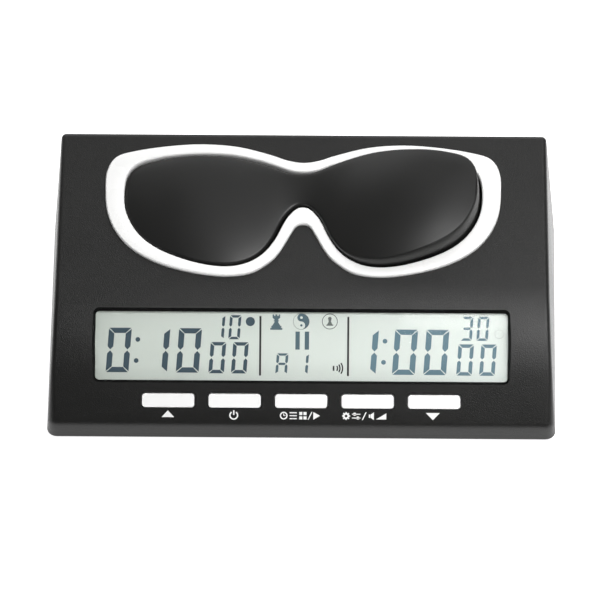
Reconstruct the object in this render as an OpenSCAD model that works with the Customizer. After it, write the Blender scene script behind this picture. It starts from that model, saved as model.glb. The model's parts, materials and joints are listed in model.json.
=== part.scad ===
// Digital chess clock with a rocker shaped like a pair of glasses.
// Origin: centre of the footprint, on the surface the clock stands on.
// X runs to the right, the display faces -Y, Z is up. Millimetres.

/* [Case] */
// Width across the base
case_w = 156; // [155:1:158]
// Depth across the base
case_d = 88; // [87.5:0.5:88.5]
// Height of the front wall
front_wall = 5.5; // [5.3:0.1:5.8]
// Length of the button face up to the bend corner
face_len = 30.3; // [30:0.1:30.6]
// Slope of the button face in degrees
face_slope = 45; // [44.5:0.5:45.5]
// Slope of the rocker deck in degrees
deck_slope = 15; // [14.5:0.5:15.5]
// Radius of the bend between face and deck
bend_r = 57; // [55:1:59]
// Draft of the front and rear walls in degrees
wall_draft = 2.7; // [2:0.1:3]
// Draft of the side walls in degrees
side_draft = 4.1; // [3.5:0.1:4.3]
// Wall thickness of the case
wall = 2.2; // [2:0.1:2.4]
// Rounding of the upper edges
edge_r = 1.6; // [1:0.1:2]
// Rounding between the front wall and the face
nose_r = 3; // [2:0.1:3.2]
// Rounding of the upright corners at the base
corner_r = 3.2; // [2.8:0.1:3.4]
// Height of the seam between the two halves above the rest surface
seam_z = 3.2; // [3:0.1:3.4]

/* [Rocker] */
// Angle that the rocker turns from one side to the other
rocker_swing = 10; // [8:0.5:11]
// Depth of the rocker axis below the deck
axis_depth = 3.2; // [3:0.1:3.4]
// Gap between the rocker and its frame
rocker_gap = 0.6; // [0.55:0.05:0.7]
// Height of the frame above the deck
frame_h = 1.2; // [1:0.1:1.4]
// Height of the rocker rim above the deck at the bridge
bridge_h = 1.5; // [1.3:0.1:1.6]
// Extra height of the rim at the outer part of each lobe
wing_h = 3.1; // [2.6:0.1:3.3]
// Radius of the crown across each lobe
crown_r = 90; // [80:5:120]
// Depth of the rocker walls below the deck
rocker_depth = 8; // [7.5:0.5:8]
// Diameter of the rocker pin
pin_d = 2.4; // [2.2:0.1:2.5]

/* [Display] */
// Width of the opening at the window surface
window_w = 126.3; // [126:0.1:127]
// Height of the opening at the window surface
window_h = 21.1; // [20.8:0.1:21.2]
// Tilt of the window plane in degrees
window_tilt = 35; // [34.5:0.5:35.5]
// Distance from the front edge of the face to the lower edge of the opening
window_low = 13; // [12.9:0.1:13.2]
// Depth of the window below the case surface
window_depth = 1.2; // [1.1:0.1:1.3]

/* [Buttons] */
// Width of a button cap
cap_w = 16; // [15.6:0.1:16.2]
// Height of a button cap along the face
cap_h = 4.2; // [4:0.1:4.3]
// How far a cap stands above the face
cap_rise = 0.6; // [0.4:0.1:0.8]
// Travel of a button
cap_travel = 0.6; // [0.5:0.05:0.6]
// Spacing of the buttons
cap_pitch = 20.35; // [20:0.05:20.8]
// Distance of the button row from the front edge of the face
cap_row = 7.6; // [7.5:0.1:7.7]

/* [Power] */
// Diameter of a battery cell
cell_d = 14.2; // [14:0.1:14.5]
// Length of a battery cell without its contact nub
cell_len = 49.2; // [49:0.1:49.5]

/* [Hidden] */
foot_h = 1.5;
foot_d = 9;
foot_sink = 0.5;
floor_t = 2;
slit = 0.3;
fit_gap = 0.15;
small = 0.01;
// How far a cut runs past the surface that it opens
past = 1;
// Length of a cut that goes right through
through = 20;
side_steps = 16;
edge_fn = 28;
round_fn = 48;

// Profile of the case in the plane X = 0. Distances run from the front base edge.
front_in = front_wall * tan(wall_draft);
rear_lift = front_wall + face_len * sin(face_slope);
deck_len = (case_d - front_in - face_len * cos(face_slope) - rear_lift * tan(wall_draft))
    / (cos(deck_slope) + sin(deck_slope) * tan(wall_draft));
face_y = front_in;
face_z = foot_h + front_wall;
bend_y = face_y + face_len * cos(face_slope);
bend_z = face_z + face_len * sin(face_slope);
top_y = bend_y + deck_len * cos(deck_slope);
top_z = bend_z + deck_len * sin(deck_slope);
bend_tangent = bend_r * tan((face_slope - deck_slope) / 2);
arc_y = bend_y - bend_tangent * cos(face_slope) + bend_r * sin(face_slope);
arc_z = bend_z - bend_tangent * sin(face_slope) - bend_r * cos(face_slope);

// The inward normal of a profile line that runs at angle a.
function inward(a) = [sin(a), -cos(a)];
// A profile corner between lines at angles a and b, moved inward by d.
function corner(p, a, b, d) = p + d * (inward(a) + inward(b)) / (1 + inward(a) * inward(b));
// The whole upper profile, moved inward by d.
function profile(d) = concat(
    [corner([face_y, face_z], 90 - wall_draft, face_slope, d)],
    [for (i = [0 : side_steps])
        let (a = face_slope + (deck_slope - face_slope) * i / side_steps)
        [arc_y, arc_z] - (bend_r - d) * inward(a)],
    [corner([top_y, top_z], deck_slope, wall_draft - 90, d)]);
// Half width of the case at height z, and the front wall's place there.
function half_w(z) = case_w / 2 - (z - foot_h) * tan(side_draft);
function wall_in(z) = (z - foot_h) * tan(wall_draft);

// Window plane: lower edge on the face, upper edge on the bend.
window_low_y = face_y + window_low * cos(face_slope);
window_low_z = face_z + window_low * sin(face_slope);
// The opening widens by this much on each side from the window up to flare_top above the chord.
flare_x = 1.1;
flare_y = 2.03;
flare_top = 1.5;
window_r = 1.2;
window_span = window_h + 2 * flare_y * window_depth / (window_depth + flare_top);
// Depths below the window plane's chord
pane_t = 1;
glass_t = 1.1;
glass_z = -window_depth - pane_t;
reflector_t = 0.3;
holder_top = glass_z - 0.3;
holder_seat = holder_top + 0.05;
holder_bottom = -5.4;
holder_room = 5;
board_top = -8;
board_t = 1.6;
pane_w = window_w + 3.4;
pane_low = -window_h / 2 - 0.9;
pane_high = window_h / 2 + 1.6;
pane_h = pane_high - pane_low;
pane_mid = (pane_low + pane_high) / 2;
pane_r = 0.9;
// The slab that the pane rests against, behind the opening
slab_w = pane_w + 3.2;
slab_h = window_h + 6.6;
slab_up = 1.1;
slab_r = 1;
glass_w = pane_w - 1;
glass_r = 0.1;
// The rear glass reaches further up, to the contact strip.
glass_ledge = 1.8;
film_low = glass_z - 2 * glass_t;
film_w = window_w + 1.4;
film_h = window_h + 1;
holder_w = pane_w + 1.8;
holder_h = pane_h + 3.2;
holder_up = 1.2;
holder_r = 0.6;
holder_gap = 0.2;
holder_floor = 0.3;
bed_gap = 0.1;
port_w = 80;
port_h = 12;
strip_len = 98;
strip_t = 1.2;
strip_slot_len = 100;
strip_slot_t = 1.6;

// Screws and the posts that they bite into
boss_d = 5.6;
screw_d = 2.2;
screw_len = 9.5;
screw_head_d = 4.4;
screw_head_h = 1.6;
screw_hole_d = 2.8;
screw_head_hole_d = 4.8;
head_sink = 2.2;
boss_hole = 9;
small_screw_d = 1.6;
small_screw_len = 5.5;
small_head_h = 1.1;
post_d = 4.6;
post_top = -2.4;
post_hole = 5.5;
board_hole_d = 2;
slot_w = 0.5;

// Case screws, feet and battery box, as distances from the front base edge
screw_x = 70.3;
screw_rows = [22, 64];
feet_x = 71.5;
feet_rows = [8.5, 78.5];
box_left = -65.4;
box_right = -8.9;
box_front = 50;
box_rear = 81.5;
box_wall = 1.2;
box_top = 18.4;
cell_z = foot_h + 1.9 + cell_d / 2;
cell_nub = 1.3;
contact_t = 0.4;
cell_rows = [box_front + 0.4 + cell_d / 2 + 0.3, box_rear - 0.7 - cell_d / 2];
door_t = 1.5;
tail_slot_h = 1.2;
buzzer_x = 45;
buzzer_row = 62;
buzzer_d = 20;
buzzer_h = 4;
buzzer_rim = 2;
buzzer_recess = 0.8;
buzzer_ring_h = 3;
buzzer_ring_w = 1.4;
sound_hole_d = 1.8;
sound_hole_r = 4.5;

// Rocker mechanism, in deck coordinates: x, distance up the deck, height above it
bearing_rows = [37, 54.8];
bearing_t = 2.6;
bearing_w = 6;
bearing_low = 3;
bearing_top = -1;
pin_rows = [35.7, 56.1];
skin_t = 1.8;
hub_w = 7;
hub_bite = 0.3;
hub_gap = 0.6;
finger_end = -14.6;
finger_row = 46;
finger_w = 2.4;
finger_t = 3;
finger_len = 10;
switch_board_h = -17;
switch_board_t = 1.2;
switch_post_row = 27;
switch_post_x = 4;
switch_post_d = 4.4;
switch_hole = 7;
switch_board_w = 13;
switch_board_rows = [24, 52];
switch_top = -13;
switch_w = 11.2;
switch_h = 6.4;
switch_wall = 1;
switch_floor = 0.8;
knob_base_t = 1;
knob_h = 4;
prong_t = 1.3;
prong_gap = 0.45;
knob_base_h = switch_board_h + 1;
knob_top = -11.4;
// The knob follows the part of the finger that stands between its prongs.
knob_arm = -axis_depth - (finger_end + knob_top) / 2;
knob_travel = 2 * knob_arm * sin(rocker_swing / 2);

// Screw bosses and the lip that centres the upper half
boss_foot = 6;
boss_bite = 0.6;
spigot_wall = 0.4;
spigot_gap = 0.1;
lip_h = 2;
lip_gap = 0.2;
lip_t = 1.2;
lip_r = 1;
lip_w = 2 * (half_w(foot_h + floor_t + lip_h) - wall - lip_gap);
lip_d = case_d - 2 * (wall_in(foot_h + floor_t + lip_h) + wall + lip_gap);
// Battery door, cells and contacts
door_lap = 0.3;
door_gap = 0.3;
door_w = box_right - box_left + 2 * door_lap;
door_rear = 81.2;
// The door's rear edge swings through this gap.
door_swing_gap = 0.7;
door_arms = [-55, -19];
door_arm_w = 4.6;
// The arms start this far inside the door plate.
arm_bite = 0.5;
grip_w = 12;
grip_h = 3;
grip_row = 3.4;
grip_depth = 0.6;
groove_w = 10;
groove_h = 0.8;
groove_row = 8.4;
groove_pitch = 1.8;
groove_depth = 0.4;
door_roof_gap = 0.1;
hinge_row = 82.6;
hinge_z = foot_h + 1;
hinge_d = 1.2;
hinge_pin_len = 7.4;
// Room around the ends of the arms, behind, above and beside their pins
hinge_room = 1.1;
hinge_roof = 1.4;
pin_play = 0.1;
pin_end_gap = 0.2;
plate_up = 4;
plate_h = 12;
plate_end = 1;
single_plate_w = 11;
tail_up = 2.6;
tail_w = 2;
tail_gap = 0.2;
nub_d = 5.4;
// The nub of each cell touches a contact plate, which leaves the rest of the room to the spring.
spring_room = box_right - box_left - cell_len - 2 * contact_t - cell_nub;
cell_shift = (box_right - box_left - cell_len) / 2 - contact_t - cell_nub;
tail_len = 4;
spring_turns = 4;
spring_wire = 0.7;
spring_steps = 10;
spring_sides = 6;
spring_foot_r = 4.6;
spring_tip_r = 2.6;

// Boards, in window coordinates and in face coordinates
board_posts = [-56, 0, 56];
board_post_row = 17;
key_posts = [-53, 53];
key_board_top = -6.3;
key_board_t = 1.2;
key_board_w = 112;
key_board_h = 8.4;
key_post_d = 4;
key_post_top = -1;
key_screw_d = 1.4;
key_screw_len = 3.5;
key_hole = 4;
key_top = -4.3;
key_w = 6;
key_h = 3.5;
key_floor = 0.4;
key_well_d = 2.2;
plunger_d = 2;
plunger_gap = 0.1;
cap_r = 1;
flange_top = -2.6;
flange_t = 0.8;
flange_w = cap_w + 1.8;
flange_h = cap_h + 1.4;
// Parts under the main board, as x and distance up the window
main_board_w = 120;
main_board_rows = [-6.5, 20];
blob_place = [-14, 5];
blob_d = 12;
blob_ball_d = 18;
blob_h = 2;
can_place = [8, 6];
can_d = 2.4;
can_len = 6.2;
can_gap = 0.1;
capacitor_x = [24, 33];
capacitor_up = 6;
capacitor_d = 5;
capacitor_h = 6;

wire_d = 1.2;
lead_d = 0.9;
wire_sides = 8;
wire_steps = 3;
// Routes as x, distance from the front base edge and height, from a contact's tail or a board's
// edge to the main board
red_route = [[-5.6, 57.8, 14.15], [2, 57, 12.5], [11, 47.5, 10.5], [17, 36.5, 12.5], [19, 31.5, 17]];
black_route = [[-5.6, 73.7, 14.15], [3, 72.5, 11.5], [15, 60.5, 8.5], [26, 39.5, 11], [28.5, 32.5, 17.5]];
buzzer_routes = [
    [[42, 61.5, 7.8], [41, 57.5, 9.6], [42, 43.5, 12], [44, 35.5, 15], [44.5, 31.5, 17]],
    [[48, 61.5, 7.8], [47.5, 57.5, 9.4], [48, 43.5, 11.5], [48.5, 35.5, 14.5], [48.5, 31.5, 17]]];
switch_routes = [for (x = [-3, 0, 3])
    [[x, 49.1, 17.2], [x, 46, 17.6], [x, 42.5, 19.5], [x, 38.5, 22.2]]];

// Route of the flat cable in the plane across the clock, from the key board to the main board
ribbon_x = 36;
ribbon_w = 12;
ribbon_t = 0.3;
ribbon_route = [[11.6, 6], [14, 5.2], [16.6, 6.2], [18.6, 8.4], [19.8, 11]];

// Rounding of the frame's and the rocker's upper edges, as angles around the edge
turns = [0, 30, 60, 90];
ribs = 10;
rocker_edge = 0.8;
// The rocker's rim reaches its full height this far from the middle.
wing_x = 41;
frame_edge = 0.6;
frame_seat = 0.6;
frame_skirt = 1.8;
frame_lip = 1.3;
frame_lip_gap = 0.1;

// Half outlines of the glasses in deck coordinates, from nose to top bridge.
frame_half = [[0, 34.7], [2.2, 33.9], [4.3, 30.3], [7.5, 24.6], [11.2, 20.9], [16.2, 18],
    [24, 17], [34, 18.2], [44, 21.1], [52, 25.6], [57.3, 31.5], [60.2, 38.5], [60.9, 46],
    [60.5, 52.5], [57.8, 57.2], [52, 59.3], [42, 61], [31, 61.8], [20, 60.9], [10, 58.2],
    [5, 56.4], [0, 55.6]];
lens_half = [[0, 40.3], [2.4, 39.5], [5.3, 36], [8.6, 29.2], [12.5, 24.2], [18, 21],
    [25, 20.1], [34, 21.7], [44, 25.7], [50.5, 31], [54.3, 38], [55.1, 45], [54.2, 51],
    [51, 54.9], [45, 56.9], [38, 58], [30, 58.4], [22, 58], [14, 56.3], [8, 54.3],
    [4, 52.8], [0, 52.3]];
outline_steps = 4;

function mirrored(half) = concat(half, [for (i = [len(half) - 2 : -1 : 1]) [-half[i][0], half[i][1]]]);
function spline(a, b, c, d, t) = (2 * b + (c - a) * t + (2 * a - 5 * b + 4 * c - d) * t * t
    + (3 * b - a - 3 * c + d) * t * t * t) / 2;
// A smooth closed curve through the points p.
function smooth(p) = let (n = len(p))
    [for (i = [0 : n - 1], k = [0 : outline_steps - 1])
        spline(p[(i + n - 1) % n], p[i], p[(i + 1) % n], p[(i + 2) % n], k / outline_steps)];
// The closed curve p moved inward by d.
function inset(p, d) = let (n = len(p))
    [for (i = [0 : n - 1])
        let (v = p[(i + 1) % n] - p[(i + n - 1) % n])
        p[i] + d * [-v[1], v[0]] / norm(v)];

frame_loop = smooth(mirrored(frame_half));
lens_loop = smooth(mirrored(lens_half));
rocker_loop = inset(lens_loop, rocker_gap);
loop_n = len(rocker_loop);

// Faces between rings of n points, each ring further along the body.
function ring_faces(n, rings, first = 0) = [for (r = [0 : rings - 2], i = [0 : n - 1])
    let (a = first + r * n + i, b = first + r * n + (i + 1) % n) [a, b, b + n, a + n]];
function lift(p, h) = [for (q = p) [q[0], q[1], h]];

module on_deck() {
    translate([0, bend_y - case_d / 2, bend_z])
        rotate([deck_slope, 0, 0])
            children();
}

module on_face() {
    translate([0, face_y - case_d / 2, face_z])
        rotate([face_slope, 0, 0])
            children();
}

// Origin at the middle of the opening, on the chord between its edges
module on_window() {
    translate([0, window_low_y - case_d / 2, window_low_z])
        rotate([window_tilt, 0, 0])
            translate([0, window_span / 2, 0])
                children();
}

module at_row(y, z = 0) {
    translate([0, y - case_d / 2, z])
        children();
}

module rounded(w, h, r) {
    for (sx = [-1, 1], sy = [-1, 1])
        translate([sx * (w / 2 - r), sy * (h / 2 - r)])
            circle(r = r, $fn = round_fn);
    square([w - 2 * r, h], center = true);
    square([w, h - 2 * r], center = true);
}

// A bar with its lower end at z, t high, w by h in plan
module plate(w, h, t, z, r = 0.5) {
    translate([0, 0, z])
        linear_extrude(t)
            rounded(w, h, r);
}

// Balls of radius r that touch the side walls, at the points of a profile moved inward by r
module edge_balls(r, points) {
    for (p = points, sx = [-1, 1])
        translate([sx * (half_w(p[1]) - r / cos(side_draft)), p[0] - case_d / 2, p[1]])
            sphere(r = r, $fn = edge_fn);
}

// The outer form of the whole case
module case_form() {
    hull() {
        edge_balls(nose_r, [profile(nose_r)[0]]);
        edge_balls(edge_r, [for (i = [1 : side_steps + 2]) profile(edge_r)[i]]);
        for (sx = [-1, 1], sy = [-1, 1])
            translate([sx * (case_w / 2 - corner_r), sy * (case_d / 2 - corner_r), foot_h])
                cylinder(r = corner_r, h = small, $fn = edge_fn);
    }
}

// The space inside a case with walls d thick
module case_inside(d) {
    hull() {
        for (p = profile(d))
            translate([0, p[0] - case_d / 2, p[1]])
                cube([2 * (half_w(p[1]) - d), small, small], center = true);
        at_row(case_d / 2, foot_h)
            cube([case_w - 2 * d, case_d - 2 * d, small], center = true);
    }
}

module at_screws() {
    for (sx = [-1, 1], row = screw_rows)
        translate([sx * screw_x, 0, 0])
            at_row(row)
                children();
}

module at_board_posts() {
    for (x = board_posts)
        translate([x, board_post_row, 0])
            children();
}

module at_key_posts() {
    for (x = key_posts)
        translate([x, cap_row, 0])
            children();
}

module at_switch_posts() {
    for (sx = [-1, 1])
        translate([sx * switch_post_x, switch_post_row, 0])
            children();
}

// A round bar that stands on the height z
module post(d, h, z) {
    translate([0, 0, z])
        cylinder(d = d, h = h, $fn = round_fn);
}

// A bar along X with its middle at the origin
module cross_pin(d, len) {
    rotate([0, 90, 0])
        cylinder(d = d, h = len, center = true, $fn = round_fn);
}

// The rocker's pin or its bore, with extra length at each end
module pin_form(d, extra = 0) {
    translate([0, pin_rows[0] - extra, -axis_depth])
        rotate([-90, 0, 0])
            cylinder(d = d, h = pin_rows[1] - pin_rows[0] + 2 * extra, $fn = round_fn);
}

module button_places() {
    for (i = [-2 : 2])
        translate([i * cap_pitch, cap_row, 0])
            children();
}

module above_seam() {
    translate([-case_w, -case_d, seam_z])
        cube([2 * case_w, 2 * case_d, 2 * case_d]);
}

module upper_case() {
    color("#32322f")
    difference() {
        union() {
            intersection() {
                difference() {
                    case_form();
                    case_inside(wall);
                }
                above_seam();
            }
            // Screw bosses, which end inside the wall above them
            intersection() {
                case_inside(wall - boss_bite);
                at_screws()
                    post(boss_d, top_z, boss_foot);
            }
            // Frame behind the window
            on_window()
                translate([0, slab_up, 0])
                    plate(slab_w, slab_h, -window_depth - holder_seat, holder_seat, slab_r);
            // Posts for the main board
            on_window()
                at_board_posts()
                    post(post_d, post_top - board_top, board_top);
            // Posts for the key board
            on_face()
                at_key_posts()
                    post(key_post_d, key_post_top - key_board_top, key_board_top);
            // Bearings for the rocker pin
            on_deck()
                for (row = bearing_rows)
                    translate([-bearing_w / 2, row - bearing_t / 2, -axis_depth - bearing_low])
                        cube([bearing_w, bearing_t, axis_depth + bearing_low + bearing_top]);
            // Posts for the switch board
            on_deck()
                at_switch_posts()
                    post(switch_post_d, bearing_top - switch_board_h, switch_board_h);
        }
        // Opening for the rocker, and the seat of its frame
        on_deck() {
            translate([0, 0, -through / 2])
                linear_extrude(through)
                    polygon(inset(lens_loop, -frame_lip - frame_lip_gap));
            translate([0, 0, -frame_seat])
                linear_extrude(through)
                    polygon(inset(frame_loop, -fit_gap));
        }
        // Flared window opening, the seat of the pane and the pocket of the tray
        on_window() {
            hull() {
                plate(window_w, window_h, small, -window_depth, window_r);
                plate(window_w + 2 * flare_x, window_h + 2 * flare_y, small, flare_top,
                    window_r + flare_x);
            }
            translate([0, pane_mid, 0])
                plate(pane_w + 2 * fit_gap, pane_h + 2 * fit_gap, holder_room,
                    -window_depth - holder_room, pane_r + fit_gap);
            translate([0, pane_mid + holder_up, 0])
                plate(holder_w + 2 * holder_gap, holder_h + 2 * holder_gap, holder_room,
                    holder_seat - holder_room, holder_r + holder_gap);
        }
        // Button openings
        on_face()
            button_places()
                plate(cap_w + 2 * slit, cap_h + 2 * slit, through, -through / 2, cap_r + slit);
        // Pilot holes
        at_screws()
            post(screw_d, boss_hole, boss_foot - past);
        on_window()
            at_board_posts()
                post(small_screw_d, post_hole, board_top - past);
        on_face()
            at_key_posts()
                post(key_screw_d, key_hole, key_board_top - past);
        on_deck() {
            at_switch_posts()
                post(small_screw_d, switch_hole, switch_board_h - past);
            pin_form(pin_d);
        }
    }
}

// The outline of the lip that centres the upper half, moved inward by d
module lip_plate(d, h, z) {
    at_row(case_d / 2)
        plate(lip_w - 2 * d, lip_d - 2 * d, h, z, lip_r);
}

// A block over the battery box, grown by g on each side
module box_block(g, h, z) {
    translate([box_left - g, 0, 0])
        at_row(box_front - g, z)
            cube([box_right - box_left + 2 * g, box_rear - box_front + 2 * g, h]);
}

// The ground that the door plate covers, grown by g in front and at the sides
module door_block(g, rear, h, z) {
    translate([box_left - door_lap - g, 0, 0])
        at_row(box_front - door_lap - g, z)
            cube([door_w + 2 * g, rear - box_front + door_lap + g, h]);
}

module lower_case() {
    color("#2b2b29")
    difference() {
        union() {
            difference() {
                case_form();
                above_seam();
            }
            // Floor and the lip that centres the upper half
            difference() {
                lip_plate(0, floor_t + lip_h, foot_h);
                lip_plate(lip_t, through, foot_h + floor_t);
            }
            box_block(box_wall, box_top + box_wall - foot_h, foot_h);
            // Spigots under the screw bosses
            at_screws()
                post(boss_d + 2 * spigot_wall, boss_foot - foot_h - spigot_gap, foot_h);
            // Ring for the buzzer
            translate([buzzer_x, 0, 0])
                at_row(buzzer_row)
                    post(buzzer_d + 2 * buzzer_ring_w, floor_t + buzzer_ring_h, foot_h);
        }
        // Hollow of the battery box, open below
        box_block(0, box_top + past, -past);
        // Step for the battery door
        door_block(door_gap, door_rear + door_swing_gap, foot_h + door_t + door_roof_gap + past, -past);
        // Slots for the hinge arms of the door, open below, and the bores of its hinge pins
        for (x = door_arms)
            translate([x, 0, 0]) {
                translate([-door_arm_w / 2 - door_gap, 0, 0])
                    at_row(door_rear - past, -past)
                        cube([door_arm_w + 2 * door_gap, hinge_row + hinge_room - door_rear + past,
                            hinge_z + hinge_roof + past]);
                at_row(hinge_row, hinge_z)
                    cross_pin(hinge_d + pin_play, hinge_pin_len + 2 * pin_end_gap);
            }
        // Slots that the contacts' tails leave through
        for (row = cell_rows)
            translate([box_right - past, 0, 0])
                at_row(row - tail_w / 2 - tail_gap, cell_z + tail_up - 2 * tail_gap)
                    cube([box_wall + 2 * past, tail_w + 2 * tail_gap, tail_slot_h]);
        // Screw holes with sunk heads
        at_screws() {
            post(screw_hole_d, through, 0);
            post(screw_head_hole_d, foot_h + head_sink, 0);
        }
        // Seats of the feet
        at_feet()
            post(foot_d + 2 * fit_gap, foot_h + foot_sink + past, -past);
        // Buzzer seat and sound holes
        translate([buzzer_x, 0, 0])
            at_row(buzzer_row) {
                post(buzzer_d + 2 * pin_play, through, foot_h + floor_t);
                for (a = [0 : 60 : 300])
                    rotate(a)
                        translate([sound_hole_r, 0, 0])
                            post(sound_hole_d, through, 0);
                post(sound_hole_d, through, 0);
            }
    }
}

module battery_door() {
    color("#2b2b29")
    union() {
        difference() {
            door_block(0, door_rear, door_t, foot_h);
            // Finger grip by the latch
            translate([(box_left + box_right) / 2, 0, 0])
                at_row(box_front - door_lap, foot_h - past) {
                    translate([-grip_w / 2, grip_row, 0])
                        cube([grip_w, grip_h, grip_depth + past]);
                    for (i = [0 : 3])
                        translate([-groove_w / 2, groove_row + i * groove_pitch, 0])
                            cube([groove_w, groove_h, groove_depth + past]);
                }
        }
        // Hinge arms with their pins
        for (x = door_arms)
            translate([x, 0, 0]) {
                translate([-door_arm_w / 2, 0, 0])
                    at_row(door_rear - arm_bite, hinge_z - hinge_d / 2)
                        cube([door_arm_w, hinge_row - door_rear + arm_bite, hinge_d]);
                at_row(hinge_row, hinge_z)
                    cross_pin(hinge_d, hinge_pin_len);
            }
    }
}

module at_feet() {
    for (sx = [-1, 1], row = feet_rows)
        translate([sx * feet_x, 0, 0])
            at_row(row)
                children();
}

module rubber_feet() {
    color("#1d1d1d")
    at_feet()
        post(foot_d, foot_h + foot_sink, 0);
}

// A pan-head screw that points up, with the underside of its head at the height z
module screw(d, len, head_d, head_h, z) {
    post(d, len, z);
    difference() {
        post(head_d, head_h, z - head_h);
        for (a = [0, 90])
            rotate(a)
                translate([-head_d / 3, -slot_w / 2, z - head_h - small])
                    cube([head_d * 2 / 3, slot_w, head_h / 2]);
    }
}

module case_screws() {
    color("silver")
    at_screws()
        screw(screw_d, screw_len, screw_head_d, screw_head_h, foot_h + head_sink);
}

// Ring in the form of a glasses frame, with rounded upper edges
module rocker_frame() {
    r = frame_edge;
    lip = inset(lens_loop, -frame_lip);
    outer = [for (a = turns) lift(inset(frame_loop, r * (1 - cos(a))), frame_h - r + r * sin(a))];
    inner = [for (i = [len(turns) - 1 : -1 : 0])
        let (a = turns[i])
        lift(inset(lens_loop, -r * (1 - cos(a))), frame_h - r + r * sin(a))];
    rings = concat([lift(frame_loop, -frame_seat)], outer, inner,
        [lift(lens_loop, -frame_skirt), lift(lip, -frame_skirt), lift(lip, -frame_seat)]);
    count = len(rings);
    n = len(frame_loop);
    points = [for (ring = rings, p = ring) p];
    faces = concat(ring_faces(n, count),
        [for (i = [0 : n - 1])
            let (j = (i + 1) % n, last = (count - 1) * n)
            [last + i, last + j, j, i]]);
    color("white")
    on_deck()
        polyhedron(points, [for (f = faces) [f[3], f[2], f[1], f[0]]], convexity = 6);
}

// Height of the rocker's rim above the deck, at x, before it tilts
function rim_h(x) = let (t = min(1, abs(x) / wing_x)) bridge_h + wing_h * t * t * (3 - 2 * t);
// Rings of the rocker: lower and upper points of the loop are paired across it.
pair_n = loop_n / 2;
function crown(len, t) = len * len / (8 * crown_r) * 4 * t * (1 - t);

module rocker_skin() {
    r = rocker_edge;
    wall_rings = [for (a = turns)
        let (q = inset(rocker_loop, r * (1 - cos(a))))
        [for (p = q) [p[0], p[1], rim_h(p[0]) - r + r * sin(a)]]];
    rings = concat([lift(rocker_loop, -rocker_depth)], wall_rings);
    n = loop_n;
    top = rings[len(rings) - 1];
    // Points across the top, rib by rib, between the loop's two sides
    inner = [for (i = [1 : pair_n - 1], k = [1 : ribs - 1])
        let (a = top[pair(i)], b = top[pair(-i)], t = k / ribs, v = b - a)
        a + v * t + [0, 0, crown(norm([v[0], v[1]]), t)]];
    points = concat([for (ring = rings, p = ring) p], inner);
    top_first = (len(rings) - 1) * n;
    inner_first = len(rings) * n;
    // Index of rib point k on rib i
    function at(i, k) = i == 0 ? top_first + pair(0)
        : i == pair_n ? top_first + pair(pair_n)
        : k == 0 ? top_first + pair(i)
        : k == ribs ? top_first + pair(-i)
        : inner_first + (i - 1) * (ribs - 1) + k - 1;
    top_faces = [for (i = [0 : pair_n - 1], k = [0 : ribs - 1], tri = [0, 1])
        let (a = at(i, k), b = at(i + 1, k), c = at(i + 1, k + 1), d = at(i, k + 1))
        tri == 0 ? [a, b, c] : [a, c, d]];
    clean_top = [for (f = top_faces) if (f[0] != f[1] && f[1] != f[2] && f[0] != f[2]) f];
    faces = concat([[for (i = [n - 1 : -1 : 0]) i]], ring_faces(n, len(rings)), clean_top);
    polyhedron(points, [for (f = faces) [for (i = [len(f) - 1 : -1 : 0]) f[i]]], convexity = 8);
}

// Loop index of pair i: the left end is pair 0, ends pair_n; negative is the upper side.
left_end = search_left(rocker_loop);
function search_left(p) = [for (i = [0 : len(p) - 1]) if (p[i][0] == min([for (q = p) q[0]])) i][0];
function pair(i) = (left_end + i + loop_n) % loop_n;

module rocker_tilt(angle) {
    translate([0, 0, -axis_depth])
        rotate([0, angle, 0])
            translate([0, 0, axis_depth])
                children();
}

module rocker() {
    hub_front = lens_half[0][1] + rocker_gap + hub_gap;
    hub_rear = lens_half[len(lens_half) - 1][1] - rocker_gap - hub_gap;
    roof = bridge_h - skin_t;
    color("#2a2a28")
    on_deck()
        rocker_tilt(-rocker_swing / 2)
            difference() {
                union() {
                    difference() {
                        rocker_skin();
                        translate([0, 0, -rocker_depth - past])
                            linear_extrude(rocker_depth + past + roof)
                                polygon(inset(rocker_loop, skin_t));
                    }
                    // Hub and the finger that moves the switch
                    translate([-hub_w / 2, hub_front, -rocker_depth])
                        cube([hub_w, hub_rear - hub_front, rocker_depth + roof + hub_bite]);
                    translate([-finger_w / 2, finger_row - finger_t / 2, finger_end])
                        cube([finger_w, finger_t, finger_len]);
                }
                pin_form(pin_d + pin_play, past);
            }
}

module rocker_pin() {
    color("silver")
    on_deck()
        pin_form(pin_d);
}

module switch_board() {
    color("#2f6b3a")
    on_deck()
        difference() {
            translate([-switch_board_w / 2, switch_board_rows[0], switch_board_h - switch_board_t])
                cube([switch_board_w, switch_board_rows[1] - switch_board_rows[0], switch_board_t]);
            at_switch_posts()
                post(board_hole_d, through, switch_board_h - through / 2);
        }
}

module switch_board_screws() {
    color("silver")
    on_deck()
        at_switch_posts()
            screw(small_screw_d, small_screw_len, 2 * small_screw_d, small_head_h,
                switch_board_h - switch_board_t);
}

// Metal-cased slide switch, open above for its knob
module slide_switch_body() {
    color("silver")
    on_deck()
        translate([0, finger_row, switch_board_h])
            difference() {
                translate([-switch_w / 2, -switch_h / 2, 0])
                    cube([switch_w, switch_h, switch_top - switch_board_h]);
                translate([switch_wall - switch_w / 2, switch_wall - switch_h / 2, switch_floor])
                    cube([switch_w - 2 * switch_wall, switch_h - 2 * switch_wall, through]);
            }
}

// Knob with two prongs around the rocker's finger
module slide_switch_knob() {
    half = finger_w / 2 + prong_gap;
    color("#333333")
    on_deck()
        translate([knob_travel / 2, finger_row, knob_base_h])
            union() {
                translate([-half - prong_t, -knob_h / 2, 0])
                    cube([2 * (half + prong_t), knob_h, knob_base_t]);
                for (sx = [-1, 1])
                    translate([sx * (half + prong_t / 2) - prong_t / 2, -knob_h / 2, 0])
                        cube([prong_t, knob_h, knob_top - knob_base_h]);
            }
}

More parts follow.
